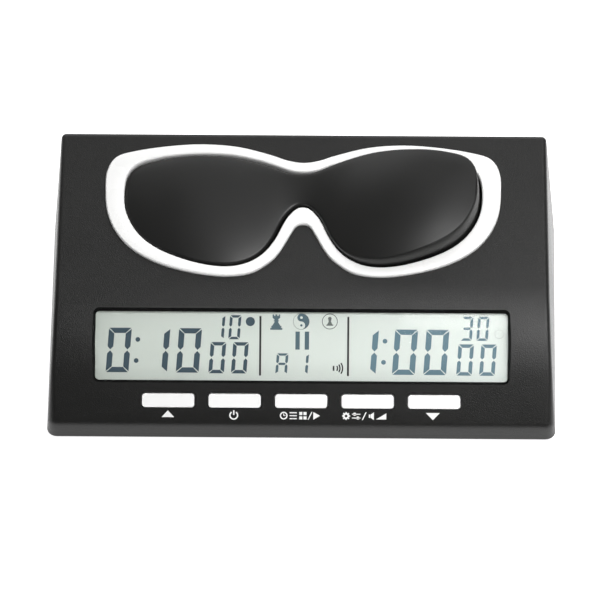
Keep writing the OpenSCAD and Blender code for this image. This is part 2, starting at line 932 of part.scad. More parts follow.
module display_window() {
    color("#dfe6e2", 0.35)
    on_window()
        translate([0, pane_mid, 0])
            plate(pane_w, pane_h, pane_t, -window_depth - pane_t, pane_r);
}

module lcd_front_glass() {
    color("#c9d2ca", 0.6)
    on_window()
        translate([0, pane_mid, 0])
            plate(glass_w, pane_h, glass_t, glass_z - glass_t, glass_r);
}

module lcd_rear_glass() {
    color("#c3ccc4", 0.6)
    on_window()
        translate([0, pane_mid + glass_ledge / 2, 0])
            plate(glass_w, pane_h + glass_ledge, glass_t, film_low, glass_r);
}

module lcd_reflector() {
    color("#d6ddd6")
    on_window()
        plate(film_w, film_h, reflector_t, film_low - reflector_t, glass_r);
}

// Tray that carries the glass, open in the middle behind the reflector
module lcd_holder() {
    bed_w = glass_w + 2 * bed_gap;
    bed_h = pane_h + glass_ledge + 2 * bed_gap;
    color("#e8e8e4")
    on_window()
        difference() {
            translate([0, pane_mid + holder_up, 0])
                plate(holder_w, holder_h, holder_top - holder_bottom, holder_bottom, holder_r);
            // Beds of the glass and of the reflector
            translate([0, pane_mid + glass_ledge / 2, 0])
                plate(bed_w, bed_h, through, film_low, holder_floor);
            plate(film_w + 2 * bed_gap, film_h + 2 * bed_gap, through, holder_bottom + holder_floor,
                holder_floor);
            // Openings in the floor, the upper one for the contact strip
            translate([-port_w / 2, -port_h / 2, holder_bottom - past])
                cube([port_w, port_h, through]);
            translate([-strip_slot_len / 2, pane_high - (strip_slot_t - strip_t) / 2 - bed_gap,
                holder_bottom - past])
                cube([strip_slot_len, strip_slot_t, through]);
        }
}

module zebra_strip() {
    color("#c9a0a0")
    on_window()
        translate([-strip_len / 2, pane_high - bed_gap, board_top])
            cube([strip_len, strip_t, film_low - board_top]);
}

module main_board() {
    color("#2f6b3a")
    on_window()
        difference() {
            translate([-main_board_w / 2, main_board_rows[0], board_top - board_t])
                cube([main_board_w, main_board_rows[1] - main_board_rows[0], board_t]);
            at_board_posts()
                post(board_hole_d, through, board_top - through / 2);
        }
}

module main_board_screws() {
    color("silver")
    on_window()
        at_board_posts()
            screw(small_screw_d, small_screw_len, 2 * small_screw_d, small_head_h, board_top - board_t);
}

module processor_blob() {
    color("#151515")
    on_window()
        translate([blob_place[0], blob_place[1], board_top - board_t])
            intersection() {
                translate([0, 0, blob_ball_d / 2 - blob_h])
                    sphere(d = blob_ball_d, $fn = round_fn);
                post(blob_d, blob_h, -blob_h);
            }
}

module crystal_can() {
    color("silver")
    on_window()
        translate([can_place[0] + can_len / 2, can_place[1], board_top - board_t - can_d / 2 - can_gap])
            cross_pin(can_d, can_len);
}

module capacitors() {
    color("#3a3f6a")
    on_window()
        for (x = capacitor_x)
            translate([x, capacitor_up, 0])
                post(capacitor_d, capacitor_h, board_top - board_t - capacitor_h);
}

module key_board() {
    color("#2f6b3a")
    on_face()
        difference() {
            translate([-key_board_w / 2, cap_row - key_board_h / 2, key_board_top - key_board_t])
                cube([key_board_w, key_board_h, key_board_t]);
            at_key_posts()
                post(board_hole_d, through, key_board_top - through / 2);
        }
}

module key_board_screws() {
    color("silver")
    on_face()
        at_key_posts()
            screw(key_screw_d, key_screw_len, 2 * key_screw_d, small_head_h, key_board_top - key_board_t);
}

module key_switches() {
    color("#4a4a4a")
    on_face()
        button_places()
            difference() {
                translate([-key_w / 2, -key_h / 2, key_board_top])
                    cube([key_w, key_h, key_top - key_board_top]);
                post(key_well_d, through, key_board_top + key_floor);
            }
}

module button_cap(i) {
    color("#f2f2f0")
    on_face()
        translate([i * cap_pitch, cap_row, 0])
            union() {
                plate(cap_w, cap_h, cap_rise - flange_top, flange_top, cap_r);
                plate(flange_w, flange_h, flange_t, flange_top - flange_t, cap_r);
            }
}

// The plunger ends plunger_gap above the floor of its key switch when the button is down.
module button_plunger(i) {
    low = key_board_top + key_floor + cap_travel + plunger_gap;
    color("#1c1c1c")
    on_face()
        translate([i * cap_pitch, cap_row, 0])
            post(plunger_d, flange_top - flange_t - low, low);
}

module up_button() { button_cap(-2); }
module power_button() { button_cap(-1); }
module mode_button() { button_cap(0); }
module set_button() { button_cap(1); }
module down_button() { button_cap(2); }
module up_plunger() { button_plunger(-2); }
module power_plunger() { button_plunger(-1); }
module mode_plunger() { button_plunger(0); }
module set_plunger() { button_plunger(1); }
module down_plunger() { button_plunger(2); }

module buzzer() {
    color("#c8a24a")
    translate([buzzer_x, 0, 0])
        at_row(buzzer_row, foot_h + floor_t)
            difference() {
                post(buzzer_d, buzzer_h, 0);
                post(buzzer_d - 2 * buzzer_rim, buzzer_recess + past, -past);
            }
}

// A cell along X with its nub at the end that end_sign names
module cell(row, end_sign) {
    translate([(box_left + box_right) / 2 + end_sign * cell_shift, 0, 0])
        at_row(row, cell_z)
            rotate([0, 90 * end_sign, 0]) {
                post(cell_d, cell_len, -cell_len / 2);
                post(nub_d, cell_nub, cell_len / 2);
            }
}

module front_cell() {
    color("#b5762f")
    cell(cell_rows[0], 1);
}

module rear_cell() {
    color("#b5762f")
    cell(cell_rows[1], -1);
}

// Contact plates against the box's end walls
module contact_plates() {
    color("silver") {
        translate([box_left, 0, 0])
            at_row(box_front + plate_end, foot_h + plate_up)
                cube([contact_t, box_rear - box_front - 2 * plate_end, plate_h]);
        for (row = cell_rows)
            translate([box_right - contact_t, 0, 0]) {
                at_row(row - single_plate_w / 2, foot_h + plate_up)
                    cube([contact_t, single_plate_w, plate_h]);
                at_row(row - tail_w / 2, cell_z + tail_up)
                    cube([tail_len, tail_w, contact_t]);
            }
    }
}

// A conical spring along X, from its wide foot to its narrow end
module cone_spring(len, wide, narrow) {
    sides = spring_sides;
    count = spring_turns * spring_steps;
    points = [for (i = [0 : count], k = [0 : sides - 1])
        let (t = i / count,
            a = 360 * spring_turns * t,
            r = wide + (narrow - wide) * t + spring_wire / 2 * cos(360 * k / sides))
        [spring_wire / 2 + (len - spring_wire) * t + spring_wire / 2 * sin(360 * k / sides),
            r * cos(a), r * sin(a)]];
    caps = [[for (k = [0 : sides - 1]) k], [for (k = [sides - 1 : -1 : 0]) count * sides + k]];
    polyhedron(points, concat(caps, [for (f = ring_faces(sides, count + 1)) [f[3], f[2], f[1], f[0]]]),
        convexity = 10);
}

module contact_springs() {
    color("silver") {
        translate([box_left + contact_t, 0, 0])
            at_row(cell_rows[0], cell_z)
                cone_spring(spring_room, spring_foot_r, spring_tip_r);
        translate([box_right - contact_t, 0, 0])
            at_row(cell_rows[1], cell_z)
                rotate([0, 0, 180])
                    cone_spring(spring_room, spring_foot_r, spring_tip_r);
    }
}

// A round wire swept along a smooth path through the points of its route
module wire(route, d) {
    sides = wire_sides;
    steps = wire_steps;
    n = len(route);
    path = concat([for (i = [0 : n - 2], k = [0 : steps - 1])
        spline(route[max(i - 1, 0)], route[i], route[i + 1], route[min(i + 2, n - 1)], k / steps)],
        [route[n - 1]]);
    m = len(path);
    points = [for (i = [0 : m - 1], k = [0 : sides - 1])
        let (v = path[min(i + 1, m - 1)] - path[max(i - 1, 0)],
            u = v / norm(v),
            side = cross(u, abs(u[2]) > 0.9 ? [1, 0, 0] : [0, 0, 1]),
            e = side / norm(side),
            g = cross(u, e),
            a = 360 * k / sides)
        path[i] + d / 2 * (e * cos(a) + g * sin(a))];
    caps = [[for (k = [0 : sides - 1]) k], [for (k = [sides - 1 : -1 : 0]) (m - 1) * sides + k]];
    at_row(0)
        polyhedron(points, concat(caps, [for (f = ring_faces(sides, m)) [f[3], f[2], f[1], f[0]]]),
            convexity = 10);
}

module red_wire() {
    color("#b3201f")
    wire(red_route, wire_d);
}

module black_wire() {
    color("#171717")
    wire(black_route, wire_d);
}

module buzzer_wires() {
    color("#c9c9c4")
    for (route = buzzer_routes)
        wire(route, lead_d);
}

module switch_wires() {
    color("#c9c9c4")
    for (route = switch_routes)
        wire(route, lead_d);
}

// A flat cable bent in one plane, from the key board to the main board
module key_ribbon() {
    n = len(ribbon_route);
    function side(i) = let (v = ribbon_route[min(i + 1, n - 1)] - ribbon_route[max(i - 1, 0)])
        [-v[1], v[0]] / norm(v) * ribbon_t / 2;
    color("#b9b9b4")
    at_row(0)
        translate([ribbon_x, 0, 0])
            rotate([90, 0, 90])
                linear_extrude(ribbon_w)
                    polygon(concat([for (i = [0 : n - 1]) ribbon_route[i] + side(i)],
                        [for (i = [n - 1 : -1 : 0]) ribbon_route[i] - side(i)]));
}

upper_case();
lower_case();
battery_door();
rubber_feet();
case_screws();
rocker_frame();
rocker();
rocker_pin();
switch_board();
switch_board_screws();
slide_switch_body();
slide_switch_knob();
display_window();
lcd_front_glass();
lcd_rear_glass();
lcd_reflector();
lcd_holder();
zebra_strip();
main_board();
main_board_screws();
processor_blob();
crystal_can();
capacitors();
key_board();
key_board_screws();
key_switches();
up_button();
power_button();
mode_button();
set_button();
down_button();
up_plunger();
power_plunger();
mode_plunger();
set_plunger();
down_plunger();
buzzer();
front_cell();
rear_cell();
contact_plates();
contact_springs();
red_wire();
black_wire();
buzzer_wires();
switch_wires();
key_ribbon();
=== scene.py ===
"""Looks of the digital chess clock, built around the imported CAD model.

Metres, in the CAD frame: X to the player's right, the display faces -Y, Z up.
The CAD nodes keep their shapes and get their finishes here. The display's
segments, the printed signs and the studio are made here.
"""

import json
import math

import bmesh
import bpy
from mathutils import Matrix, Vector


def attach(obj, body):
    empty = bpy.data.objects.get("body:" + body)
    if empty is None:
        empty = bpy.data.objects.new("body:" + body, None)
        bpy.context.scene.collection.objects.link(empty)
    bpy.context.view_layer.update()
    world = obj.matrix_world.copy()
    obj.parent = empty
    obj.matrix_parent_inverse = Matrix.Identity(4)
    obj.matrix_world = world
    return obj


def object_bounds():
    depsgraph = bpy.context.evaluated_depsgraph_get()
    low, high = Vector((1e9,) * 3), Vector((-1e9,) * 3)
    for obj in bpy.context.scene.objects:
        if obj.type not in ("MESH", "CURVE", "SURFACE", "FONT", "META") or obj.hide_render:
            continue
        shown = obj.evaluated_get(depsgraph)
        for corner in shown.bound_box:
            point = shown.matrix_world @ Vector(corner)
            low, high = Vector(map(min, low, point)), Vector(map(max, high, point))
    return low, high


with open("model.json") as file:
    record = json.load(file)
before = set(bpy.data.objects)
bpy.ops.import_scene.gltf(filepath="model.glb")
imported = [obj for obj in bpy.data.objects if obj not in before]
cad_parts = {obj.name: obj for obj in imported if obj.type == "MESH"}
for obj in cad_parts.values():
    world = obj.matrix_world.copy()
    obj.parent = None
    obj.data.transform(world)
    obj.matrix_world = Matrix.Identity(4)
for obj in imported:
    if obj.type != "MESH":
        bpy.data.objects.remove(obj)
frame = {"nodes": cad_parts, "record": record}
cad_low, cad_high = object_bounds()
NODES = frame["nodes"]
MM = 0.001

# ---------------------------------------------------------------- places
# Two sloped planes of the case, as turns about X in degrees
FACE_TILT = 45.0
WINDOW_TILT = 35.0


def sloped(tilt):
    """The frame of a sloped plane: x, distance up the slope, height above it."""
    return Matrix.Rotation(math.radians(tilt), 4, "X")


def sloped_box(node, tilt):
    """Lowest and highest corner of a CAD node in the frame of a sloped plane."""
    inverse = sloped(tilt).inverted()
    points = [inverse @ v.co for v in NODES[node].data.vertices]
    low = Vector([min(p[i] for p in points) for i in range(3)])
    high = Vector([max(p[i] for p in points) for i in range(3)])
    return low, high


def on_plane(tilt, up, height):
    """A matrix that lays a flat piece on a sloped plane, in the middle along X."""
    return sloped(tilt) @ Matrix.Translation(Vector((0, up, height)))


# ---------------------------------------------------------------- materials
# Noise scales, in cells per metre: slow changes of colour, and a fine uneven polish
SLOW_SCALE = 60
POLISH_SCALE = 900
# Almost all of a noise texture's values lie between these two.
NOISE_LOW = 0.3
NOISE_HIGH = 0.7
# Limits of the roughness of dull surfaces
MATT = (0.5, 0.6)
# How early clear sheet starts to mirror as the view gets lower
SHEET_BLEND = 0.12


def new_material(name):
    material = bpy.data.materials.new(name)
    material.use_nodes = True
    tree = material.node_tree
    return material, tree, tree.nodes["Principled BSDF"]


def noise(tree, scale, detail=3, roughness=0.5):
    """Noise fixed to the piece, with its scale in cells per metre."""
    place = tree.nodes.new("ShaderNodeTexCoord")
    node = tree.nodes.new("ShaderNodeTexNoise")
    node.inputs["Scale"].default_value = scale
    node.inputs["Detail"].default_value = detail
    node.inputs["Roughness"].default_value = roughness
    tree.links.new(place.outputs["Object"], node.inputs["Vector"])
    return node.outputs["Fac"]


def spread(tree, value, limits):
    """A noise value, mapped to the range between two limits."""
    node = tree.nodes.new("ShaderNodeMapRange")
    node.inputs["From Min"].default_value = NOISE_LOW
    node.inputs["From Max"].default_value = NOISE_HIGH
    node.inputs["To Min"].default_value = limits[0]
    node.inputs["To Max"].default_value = limits[1]
    tree.links.new(value, node.inputs["Value"])
    return node.outputs["Result"]


def tinted(tree, value, dark, light):
    """A colour between two, driven by a value."""
    node = tree.nodes.new("ShaderNodeMix")
    node.data_type = "RGBA"
    node.inputs["A"].default_value = (*dark, 1)
    node.inputs["B"].default_value = (*light, 1)
    tree.links.new(value, node.inputs["Factor"])
    return node.outputs["Result"]


def bump(tree, height, distance):
    node = tree.nodes.new("ShaderNodeBump")
    node.inputs["Distance"].default_value = distance
    tree.links.new(height, node.inputs["Height"])
    return node.outputs["Normal"]


def plastic(name, dark, light, rough, grain_scale=2200, grain_depth=0.02 * MM, specular=0.5):
    """Moulded plastic: a fine grain, and a slow change of colour and gloss."""
    material, tree, shader = new_material(name)
    slow = noise(tree, SLOW_SCALE)
    tree.links.new(tinted(tree, slow, dark, light), shader.inputs["Base Color"])
    tree.links.new(spread(tree, slow, rough), shader.inputs["Roughness"])
    if grain_depth:
        grain = noise(tree, grain_scale, roughness=0.6)
        tree.links.new(bump(tree, grain, grain_depth), shader.inputs["Normal"])
    shader.inputs["Specular IOR Level"].default_value = specular
    return material


def metal(name, dark, light, rough):
    """Metal with a fine uneven polish."""
    material, tree, shader = new_material(name)
    grain = noise(tree, POLISH_SCALE, detail=4)
    tree.links.new(tinted(tree, grain, dark, light), shader.inputs["Base Color"])
    tree.links.new(spread(tree, grain, rough), shader.inputs["Roughness"])
    shader.inputs["Metallic"].default_value = 1.0
    return material


def clear_sheet(name, tint, rough, least, most):
    """Clear sheet that lets the light through and mirrors a little, more at low angles."""
    material, tree, shader = new_material(name)
    tree.nodes.remove(shader)
    out = tree.nodes["Material Output"]
    through = tree.nodes.new("ShaderNodeBsdfTransparent")
    through.inputs["Color"].default_value = (*tint, 1)
    gloss = tree.nodes.new("ShaderNodeBsdfGlossy")
    gloss.inputs["Roughness"].default_value = rough
    edge = tree.nodes.new("ShaderNodeLayerWeight")
    edge.inputs["Blend"].default_value = SHEET_BLEND
    share = tree.nodes.new("ShaderNodeMapRange")
    share.inputs["To Min"].default_value = least
    share.inputs["To Max"].default_value = most
    mix = tree.nodes.new("ShaderNodeMixShader")
    tree.links.new(edge.outputs["Facing"], share.inputs["Value"])
    tree.links.new(share.outputs["Result"], mix.inputs["Fac"])
    tree.links.new(through.outputs["BSDF"], mix.inputs[1])
    tree.links.new(gloss.outputs["BSDF"], mix.inputs[2])
    tree.links.new(mix.outputs["Shader"], out.inputs["Surface"])
    return material


def grey(level):
    return level, level, level


BLACK = (0.0035, 0.0035, 0.0031)
CHARCOAL = (0.0045, 0.0045, 0.004)
WHITE = (0.93, 0.93, 0.92)
BRIGHT_WHITE = (0.95, 0.95, 0.94)

# Darkest and lightest colour and limits of the roughness; then, where they differ from the
# usual, the scale and the depth of the grain and the specular level
PLASTICS = {
    "case_plastic": (BLACK, CHARCOAL, (0.33, 0.38), 2800, 0.1 * MM, 0.4),
    "base_plastic": (BLACK, CHARCOAL, (0.4, 0.46), 2800, 0.05 * MM, 0.4),
    "feet": (grey(0.01), grey(0.016), (0.75, 0.85), 1500),
    "frame_plastic": (WHITE, BRIGHT_WHITE, (0.22, 0.3), 600, 0.002 * MM),
    "rocker_plastic": ((0.004, 0.004, 0.0036), (0.005, 0.005, 0.0045), (0.32, 0.36), 900,
                       0.002 * MM, 0.4),
    "button_plastic": (WHITE, BRIGHT_WHITE, (0.3, 0.38), 800, 0.003 * MM),
    "switch_plastic": (grey(0.012), grey(0.02), (0.4, 0.5)),
    "tray_plastic": ((0.7, 0.7, 0.68), (0.78, 0.78, 0.76), (0.45, 0.55)),
    "reflector_film": ((0.76, 0.82, 0.755), (0.78, 0.84, 0.775), (0.6, 0.7), 3000, 0.004 * MM,
                       0.2),
    "zebra_rubber": ((0.5, 0.32, 0.32), (0.6, 0.4, 0.4), (0.6, 0.7)),
    "black_resin": (grey(0.006), grey(0.01), (0.2, 0.35)),
    "capacitor_sleeve": ((0.02, 0.03, 0.12), (0.03, 0.04, 0.16), (0.3, 0.4)),
    "circuit_board": ((0.02, 0.12, 0.045), (0.03, 0.16, 0.06), (0.3, 0.4), 700, 0.01 * MM),
    "cell_sleeve": ((0.42, 0.16, 0.03), (0.48, 0.2, 0.05), (0.25, 0.35)),
    "red_sleeve": ((0.42, 0.02, 0.02), (0.5, 0.03, 0.03), (0.35, 0.45)),
    "black_sleeve": (grey(0.012), grey(0.02), (0.35, 0.45)),
    "grey_sleeve": ((0.5, 0.5, 0.47), (0.58, 0.58, 0.55), (0.4, 0.5)),
}
# Darkest and lightest colour, and limits of the roughness
METALS = {
    "screw_steel": (grey(0.5), grey(0.62), (0.25, 0.4)),
    "pin_steel": (grey(0.55), grey(0.66), (0.2, 0.3)),
    "switch_metal": ((0.55, 0.55, 0.52), (0.66, 0.66, 0.63), (0.25, 0.4)),
    "contact_steel": ((0.6, 0.6, 0.58), (0.72, 0.72, 0.7), (0.2, 0.3)),
    "buzzer_brass": ((0.6, 0.43, 0.17), (0.72, 0.54, 0.24), (0.25, 0.4)),
}
# Tint, roughness, and the least and the most that is mirrored
SHEETS = {
    "window_pane": ((0.985, 0.99, 0.985), 0.04, 0.012, 0.4),
    "lcd_glass": ((0.995, 1.0, 0.995), 0.1, 0.0, 0.1),
}
MATERIALS = {name: plastic(name, *row) for name, row in PLASTICS.items()}
MATERIALS.update({name: metal(name, *row) for name, row in METALS.items()})
MATERIALS.update({name: clear_sheet(name, *row) for name, row in SHEETS.items()})

# The film on the display: its colour at the left and right ends, where those ends lie,
# and how much of the way between the two colours the noise adds
# The left end is painted darker and the right end lighter: painted light, for the stronger light on
# the right of the display.
FILM_LEFT_PAINTED_SHADE = (0.66, 0.71, 0.66)
FILM_RIGHT_PAINTED_LIGHT = (0.83, 0.88, 0.845)
FILM_HALF_WIDTH = 63 * MM
FILM_UNEVENNESS = 0.12
FILM_SPECULAR = 0.1


def display_film(name):
    """Pale film in front of the display, with painted light making it lighter towards the right."""
    material, tree, shader = new_material(name)
    place = tree.nodes.new("ShaderNodeTexCoord")
    split = tree.nodes.new("ShaderNodeSeparateXYZ")
    tree.links.new(place.outputs["Object"], split.inputs["Vector"])
    across = tree.nodes.new("ShaderNodeMapRange")
    across.inputs["From Min"].default_value = -FILM_HALF_WIDTH
    across.inputs["From Max"].default_value = FILM_HALF_WIDTH
    tree.links.new(split.outputs["X"], across.inputs["Value"])
    uneven = tree.nodes.new("ShaderNodeMath")
    uneven.operation = "MULTIPLY_ADD"
    uneven.inputs[1].default_value = FILM_UNEVENNESS
    tree.links.new(noise(tree, SLOW_SCALE), uneven.inputs[0])
    tree.links.new(across.outputs["Result"], uneven.inputs[2])
    # Painted light: the colour runs from darker on the left to lighter on the right, with the noise
    # on top.
    colour = tinted(tree, uneven.outputs["Value"], FILM_LEFT_PAINTED_SHADE, FILM_RIGHT_PAINTED_LIGHT)
    tree.links.new(colour, shader.inputs["Base Color"])
    polish = spread(tree, noise(tree, POLISH_SCALE, detail=2), MATT)
    tree.links.new(polish, shader.inputs["Roughness"])
    shader.inputs["Specular IOR Level"].default_value = FILM_SPECULAR
    return material


def ink(name, dark, light):
    """Smooth dull colour of the display's marks."""
    return plastic(name, dark, light, MATT, grain_depth=0.0)


# The front glass with its film, which can't be seen through between the segments
DISPLAY_FACE = display_film("display_face")
# The segments are painted paler towards the right of the display: painted light, for the stronger
# light on the right.
LEFT_INK = ink("left_ink", (0.026, 0.058, 0.083), (0.034, 0.068, 0.097))
CENTRE_INK_PAINTED_LIGHT = ink("centre_ink_painted_light", (0.058, 0.112, 0.14), (0.07, 0.128, 0.16))
RIGHT_INK_PAINTED_LIGHT = ink("right_ink_painted_light", (0.092, 0.18, 0.228), (0.108, 0.2, 0.252))
LINE_INK = ink("line_ink", (0.006, 0.008, 0.009), (0.01, 0.012, 0.013))
RING_INK = ink("ring_ink", (0.11, 0.13, 0.125), (0.14, 0.16, 0.15))
FAINT_INK = ink("faint_ink", (0.5, 0.54, 0.51), (0.53, 0.57, 0.54))
SIGN_PAINT = plastic("sign_paint", (0.84, 0.84, 0.83), (0.9, 0.9, 0.89), (0.4, 0.5),
                     grain_scale=3000, grain_depth=0.004 * MM)
# Near-black, barely mirroring finish of the flared walls around the window: painted shade, for the
# shade in the recess
RECESS_PAINTED_SHADE = plastic("window_recess_painted_shade", grey(0.0012), grey(0.0018), MATT, grain_scale=2800,
                 specular=0.06)

# ---------------------------------------------------------------- CAD nodes
# Points closer than this are joined, and edges that turn less than this are smoothed.
JOIN_DISTANCE = 0.002 * MM
SMOOTH_ANGLE = math.radians(30)
# Faces that turn less than the first angle become one face before an edge is rounded,
# and edges that turn more than the second are rounded.
FLAT_ANGLE = math.radians(0.5)
ROUNDED_ANGLE = math.radians(40)
ROUNDED_STEPS = 3
# Width of the rounded edge on each moulded node
EDGES = {
    "upper_case": 0.2 * MM,
    "battery_door": 0.15 * MM,
    "rubber_feet": 0.3 * MM,
}
for button in ("up", "power", "mode", "set", "down"):
    EDGES[button + "_button"] = 0.22 * MM


def geometry_group(name):
    """A node group from geometry to geometry, with its two ends."""
    group = bpy.data.node_groups.new(name, "GeometryNodeTree")
    for way in ("INPUT", "OUTPUT"):
        group.interface.new_socket("Geometry", in_out=way, socket_type="NodeSocketGeometry")
    return group, group.nodes.new("NodeGroupInput"), group.nodes.new("NodeGroupOutput")


def compared(group, value, operation, limit):
    """Whether a value lies on one side of a limit."""
    node = group.nodes.new("FunctionNodeCompare")
    node.operation = operation
    node.inputs["B"].default_value = limit
    group.links.new(value, node.inputs["A"])
    return node.outputs["Result"]


def softened():
    """A node group that joins the mesh's points and smooths all but its sharp edges."""
    group, start, end = geometry_group("softened")
    nodes, links = group.nodes, group.links
    join = nodes.new("GeometryNodeMergeByDistance")
    join.inputs["Distance"].default_value = JOIN_DISTANCE
    forget = nodes.new("GeometryNodeRemoveAttribute")
    forget.inputs["Name"].default_value = "custom_normal"
    faces = nodes.new("GeometryNodeSetShadeSmooth")
    faces.domain = "FACE"
    faces.inputs["Shade Smooth"].default_value = True
    edges = nodes.new("GeometryNodeSetShadeSmooth")
    edges.domain = "EDGE"
    turn = nodes.new("GeometryNodeInputMeshEdgeAngle")
    flat = compared(group, turn.outputs["Unsigned Angle"], "LESS_THAN", SMOOTH_ANGLE)
    links.new(start.outputs["Geometry"], join.inputs["Geometry"])
    links.new(join.outputs["Geometry"], forget.inputs["Geometry"])
    links.new(forget.outputs["Geometry"], faces.inputs["Geometry"])
    links.new(faces.outputs["Geometry"], edges.inputs["Geometry"])
    links.new(flat, edges.inputs["Shade Smooth"])
    links.new(edges.outputs["Geometry"], end.inputs["Geometry"])
    return group


pane_low, pane_high = sloped_box("display_window", WINDOW_TILT)
# How far the flare reaches above the pane, and the least that its walls turn from the pane
FLARE_RISE = 4 * MM
FLARE_TURN = math.radians(38)


def in_window_frame(group, vector):
    """The parts of a vector in the sloped frame of the window."""
    turn = group.nodes.new("ShaderNodeVectorRotate")
    turn.rotation_type = "X_AXIS"
    turn.inputs["Angle"].default_value = -math.radians(WINDOW_TILT)
    split = group.nodes.new("ShaderNodeSeparateXYZ")
    group.links.new(vector, turn.inputs["Vector"])
    group.links.new(turn.outputs["Vector"], split.inputs["Vector"])
    return split.outputs


def recess_shade_group():
    """A node group that gives the flared walls around the window the case's second material, the
    painted shade.
    """
    group, start, end = geometry_group("recess_shade_group")
    nodes, links = group.nodes, group.links
    middle = in_window_frame(group, nodes.new("GeometryNodeInputPosition").outputs["Position"])
    facing = in_window_frame(group, nodes.new("GeometryNodeInputNormal").outputs["True Normal"])
    top = (pane_high.x, pane_high.y, pane_high.z + FLARE_RISE)
    inside = compared(group, facing["Z"], "LESS_THAN", math.cos(FLARE_TURN))
    for axis, least, most in zip("XYZ", pane_low, top):
        for operation, limit in (("GREATER_THAN", least), ("LESS_THAN", most)):
            both = nodes.new("FunctionNodeBooleanMath")
            links.new(inside, both.inputs[0])
            links.new(compared(group, middle[axis], operation, limit), both.inputs[1])
            inside = both.outputs["Boolean"]
    line = nodes.new("GeometryNodeSetMaterialIndex")
    line.inputs["Material Index"].default_value = 1
    links.new(start.outputs["Geometry"], line.inputs["Geometry"])
    links.new(inside, line.inputs["Selection"])
    links.new(line.outputs["Geometry"], end.inputs["Geometry"])
    return group


def round_edges(node, width):
    """Round a node's sharp edges, after its flat faces are made one face each."""
    merge = node.modifiers.new("plain_faces", "DECIMATE")
    merge.decimate_type = "DISSOLVE"
    merge.angle_limit = FLAT_ANGLE
    merge.delimit = {"MATERIAL"}
    edge = node.modifiers.new("soft_edge", "BEVEL")
    edge.width = width
    edge.segments = ROUNDED_STEPS
    edge.limit_method = "ANGLE"
    edge.angle_limit = ROUNDED_ANGLE
    edge.harden_normals = True


SOFT = softened()
for part in frame["record"]["subparts"]:
    node = NODES[part["node"]]
    node.data.materials.clear()
    front_glass = part["node"] == "lcd_front_glass"
    node.data.materials.append(DISPLAY_FACE if front_glass else MATERIALS[part["material_slot"]])
    # The upper case's second material paints shade on the flared walls around the window.
    if part["node"] == "upper_case":
        node.data.materials.append(RECESS_PAINTED_SHADE)
        line = node.modifiers.new("line", "NODES")
        line.node_group = recess_shade_group()
    smooth = node.modifiers.new("soften", "NODES")
    smooth.node_group = SOFT
    if part["node"] in EDGES:
        round_edges(node, EDGES[part["node"]])

# ---------------------------------------------------------------- flat marks
# Outlines are lists of points in millimetres, along X and up the slope.
MARK_THICKNESS = 0.02 * MM
# Width of the curved strokes, in millimetres
STROKE = 0.42


def disc(x, y, r, count=40):
    return [(x + r * math.cos(2 * math.pi * i / count), y + r * math.sin(2 * math.pi * i / count))
            for i in range(count)]


def arc(x, y, r, start, end, count=24):
    """Points along an arc, with its angles in degrees."""
    angles = [math.radians(start + (end - start) * i / count) for i in range(count + 1)]
    return [(x + r * math.cos(a), y + r * math.sin(a)) for a in angles]


def arc_band(x, y, r, width, start, end):
    return arc(x, y, r + width / 2, start, end) + arc(x, y, r - width / 2, end, start)


def bar(x0, y0, x1, y1):
    return [(x0, y0), (x1, y0), (x1, y1), (x0, y1)]


def moved(points, x, y):
    return [(x + px, y + py) for px, py in points]


def mirrored(points, x, y):
    """A symmetrical outline from its right half, about a line through x."""
    return moved(points, x, y) + [(x - px, y + py) for px, py in reversed(points)]


def marks(name, outlines, place, material):
    """Flat marks on the case; an outline inside another is a hole."""
    curve = bpy.data.curves.new(name, "CURVE")
    curve.dimensions = "2D"
    curve.fill_mode = "BOTH"
    curve.extrude = MARK_THICKNESS / 2
    for outline in outlines:
        spline = curve.splines.new("POLY")
        spline.points.add(len(outline) - 1)
        for point, (x, y) in zip(spline.points, outline):
            point.co = (x * MM, y * MM, 0, 1)
        spline.use_cyclic_u = True
    source = bpy.data.objects.new(name + "_outline", curve)
    bpy.context.scene.collection.objects.link(source)
    mesh = bpy.data.meshes.new_from_object(source)
    bpy.data.objects.remove(source)
    mesh.transform(place)
    mesh.materials.clear()
    mesh.materials.append(material)
    piece = bpy.data.objects.new(name, mesh)
    bpy.context.scene.collection.objects.link(piece)
    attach(piece, "case")


# ---------------------------------------------------------------- display
SEGMENTS = {"0": "abcdef", "1": "bc", "3": "abgcd", "A": "abcefg"}
# How far the figures lean to the right for each millimetre of height
SLANT = 0.07
# How far the ends of a segment are cut back, and the length of a tip in stroke widths
CUT = 0.154
TIP = 0.55


def digit(sign, x, y, w, h, across, along):
    """Seven-segment figure with its lower left corner at x, y. Strokes are across and along."""
    mid = h / 2
    tip = across * TIP
    left_up = [(0, h - 2 * CUT), (across, h - along - CUT), (across, mid + tip + CUT),
               (across / 2, mid + CUT), (0, mid + tip + CUT)]
    top = [(CUT, h), (w - CUT, h), (w - across - CUT / 2, h - along), (across + CUT / 2, h - along)]
    bridge = [(across / 2 + CUT, mid), (across + CUT, mid + along / 2),
              (w - across - CUT, mid + along / 2), (w - across / 2 - CUT, mid),
              (w - across - CUT, mid - along / 2), (across + CUT, mid - along / 2)]
    shapes = {
        "a": top,
        "b": [(w - px, py) for px, py in left_up],
        "c": [(w - px, h - py) for px, py in left_up],
        "d": [(px, h - py) for px, py in top],
        "e": [(px, h - py) for px, py in left_up],
        "f": left_up,
        "g": bridge,
    }
    return [[(x + px + SLANT * py, y + py) for px, py in shapes[s]] for s in SEGMENTS[sign]]


# Sizes of the figures, with the height of their lower edge on the display
BIG = {"y": -8.4, "w": 7.0, "h": 13.9, "across": 1.75, "along": 1.6}
MEDIUM = {"y": -8.5, "w": 4.75, "h": 9.6, "across": 1.15, "along": 1.05}
SMALL = {"y": 2.2, "w": 3.5, "h": 7.4, "across": 0.85, "along": 0.75}
TINY = {"y": -8.5, "w": 3.55, "h": 6.45, "across": 0.8, "along": 0.7}
# The left figures end a little higher.
LEFT_BIG = {**BIG, "y": -8.15, "h": 13.65}
LEFT_MEDIUM = {**MEDIUM, "y": -8.3}
